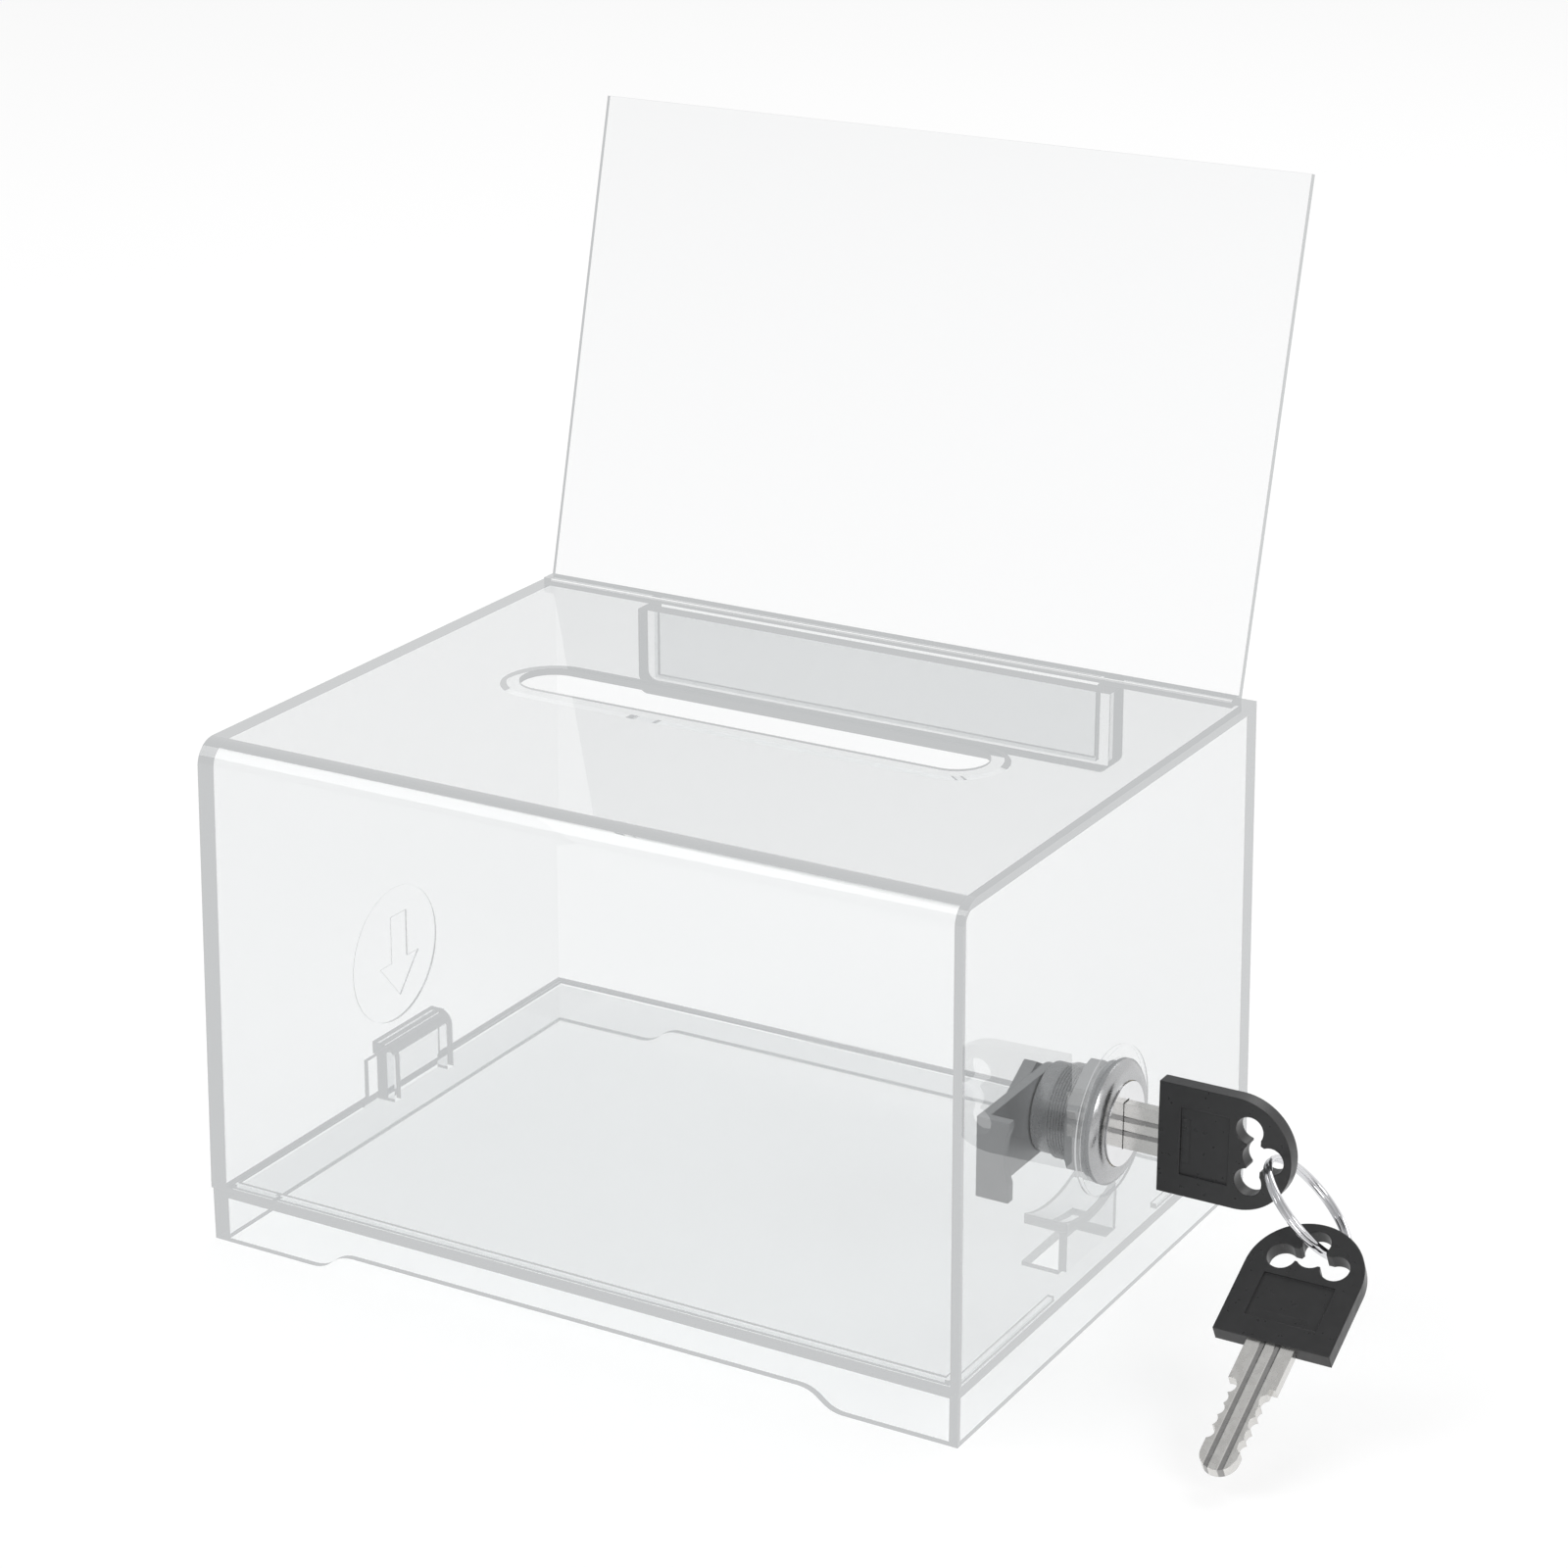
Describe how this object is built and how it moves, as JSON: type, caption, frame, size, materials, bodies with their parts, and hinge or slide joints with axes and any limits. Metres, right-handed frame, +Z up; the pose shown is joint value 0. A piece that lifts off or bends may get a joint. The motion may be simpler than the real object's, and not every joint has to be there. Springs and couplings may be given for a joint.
{
  "type": "ballot box",
  "caption": "Clear tabletop ballot box with a slotted tilting cover, a leaning sign sheet, and a cam lock with keys on a ring.",
  "frame": {"origin": "centre of the base's outline on the table plane", "axes": "+X to the lock side along the box's length, +Y to the rear, +Z up"},
  "size_m": [0.211, 0.1384, 0.1921],
  "materials": {
    "clear_base": "clear moulded",
    "clear_cover": "clear moulded",
    "clear_sheet": "clear sheet",
    "zinc_alloy": "satin chrome",
    "plated_steel": "satin",
    "brass": "machined",
    "polished_steel": "polished",
    "key_metal": "nickel plated",
    "black_plastic": "satin"
  },
  "bodies": {
    "base": {"base_tray": "clear_base"},
    "cover": {"cover_shell": "clear_cover", "lock_barrel": "zinc_alloy", "lock_washer": "plated_steel", "lock_nut": "plated_steel"},
    "sign": {"sign_panel": "clear_sheet"},
    "plug": {"lock_plug": "brass", "plug_cap": "polished_steel", "wafers": "brass", "cam": "plated_steel", "cam_washer": "plated_steel", "cam_nut": "plated_steel"},
    "key_1": {"key_1_blade": "key_metal", "key_1_head": "black_plastic"},
    "ring": {"split_ring": "polished_steel"},
    "key_2": {"key_2_blade": "key_metal", "key_2_head": "black_plastic"}
  },
  "joints": [
    {"name": "cover_tilt", "type": "hinge", "parent": "base", "child": "cover", "pos_m": [-0.0785, 0, 0.0105], "axis": [0, -1, 0], "range_deg": [0, 75]},
    {"name": "sign_lift", "type": "slide", "parent": "cover", "child": "sign", "axis": [0, 0, 1], "range_m": [0, 0.016]},
    {"name": "lock_turn", "type": "hinge", "parent": "cover", "child": "plug", "pos_m": [0.07, 0, 0.0369], "axis": [1, 0, 0], "range_deg": [0, 90]},
    {"name": "key_pull", "type": "slide", "parent": "plug", "child": "key_1", "axis": [1, 0, 0], "range_m": [0, 0.024]},
    {"name": "ring_swing", "type": "hinge", "parent": "key_1", "child": "ring", "pos_m": [0.1087, 0, 0.0369], "axis": [0, 1, 0], "range_deg": [-6, 6]},
    {"name": "key_2_swing", "type": "hinge", "parent": "ring", "child": "key_2", "pos_m": [0.1219, -0.01023, 0.02738], "axis": [0, -0.4802, 0.8771], "range_deg": [-6, 6]}
  ]
}
